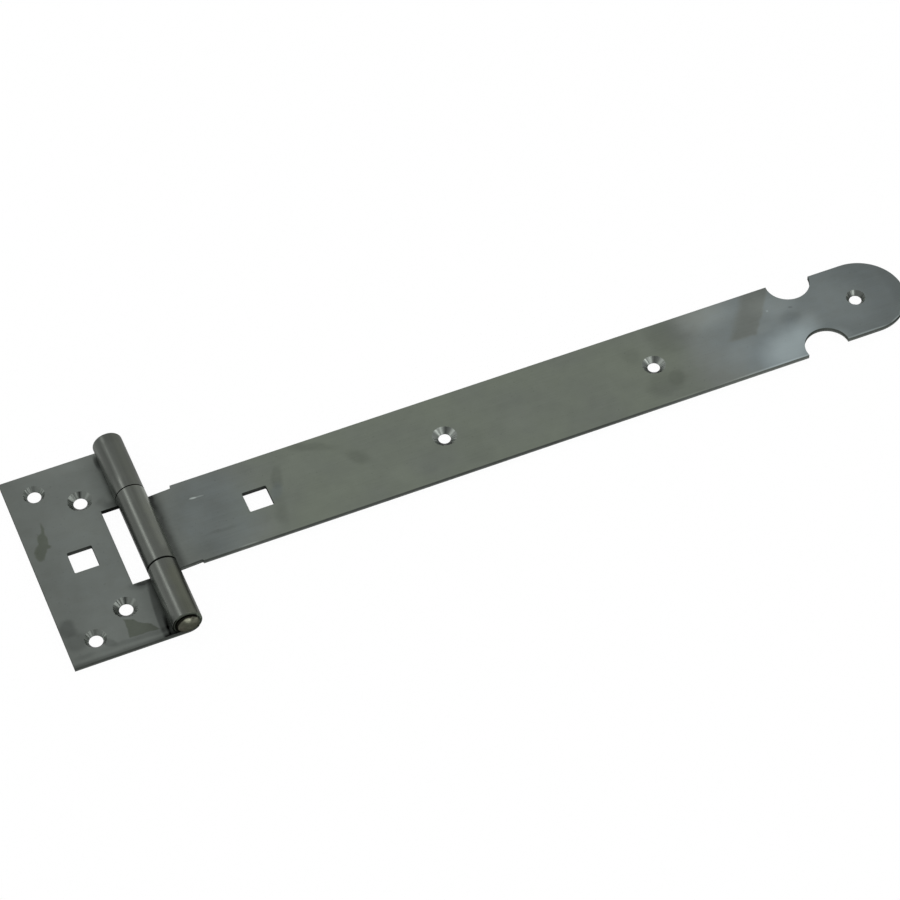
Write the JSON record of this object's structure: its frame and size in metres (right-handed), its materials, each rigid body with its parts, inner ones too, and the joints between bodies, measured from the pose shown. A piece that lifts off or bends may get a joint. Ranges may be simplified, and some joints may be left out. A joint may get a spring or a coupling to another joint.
{
  "type": "tee hinge",
  "caption": "Bare steel tee hinge: a short screw leaf with outer knuckles, a long strap leaf with a rounded head, and a peened pin.",
  "frame": {"origin": "under the pin's axis, half way along the barrel, on the plane of the frame leaf's back", "axes": "+X along the strap leaf to its tip, Y along the pin, +Z from the leaves' backs to their faces"},
  "size_m": [0.3717, 0.0978, 0.0121],
  "materials": {
    "frame_leaf_steel": "bare rolled sheet steel, lightly oiled, dark grey-green satin with smudges",
    "strap_leaf_steel": "bare rolled sheet steel, lightly oiled, dark grey-green satin with smudges",
    "pin_steel": "bare drawn bar, hammered at the ends, slightly yellowish"
  },
  "bodies": {
    "frame": {"frame_leaf": "frame_leaf_steel", "hinge_pin": "pin_steel"},
    "strap": {"strap_leaf": "strap_leaf_steel"}
  },
  "joints": [
    {"name": "strap_swing", "type": "hinge", "parent": "frame", "child": "strap", "pos_m": [0, 0, 0.00605], "axis": [0, -1, 0], "range_deg": [-126, 188]}
  ]
}
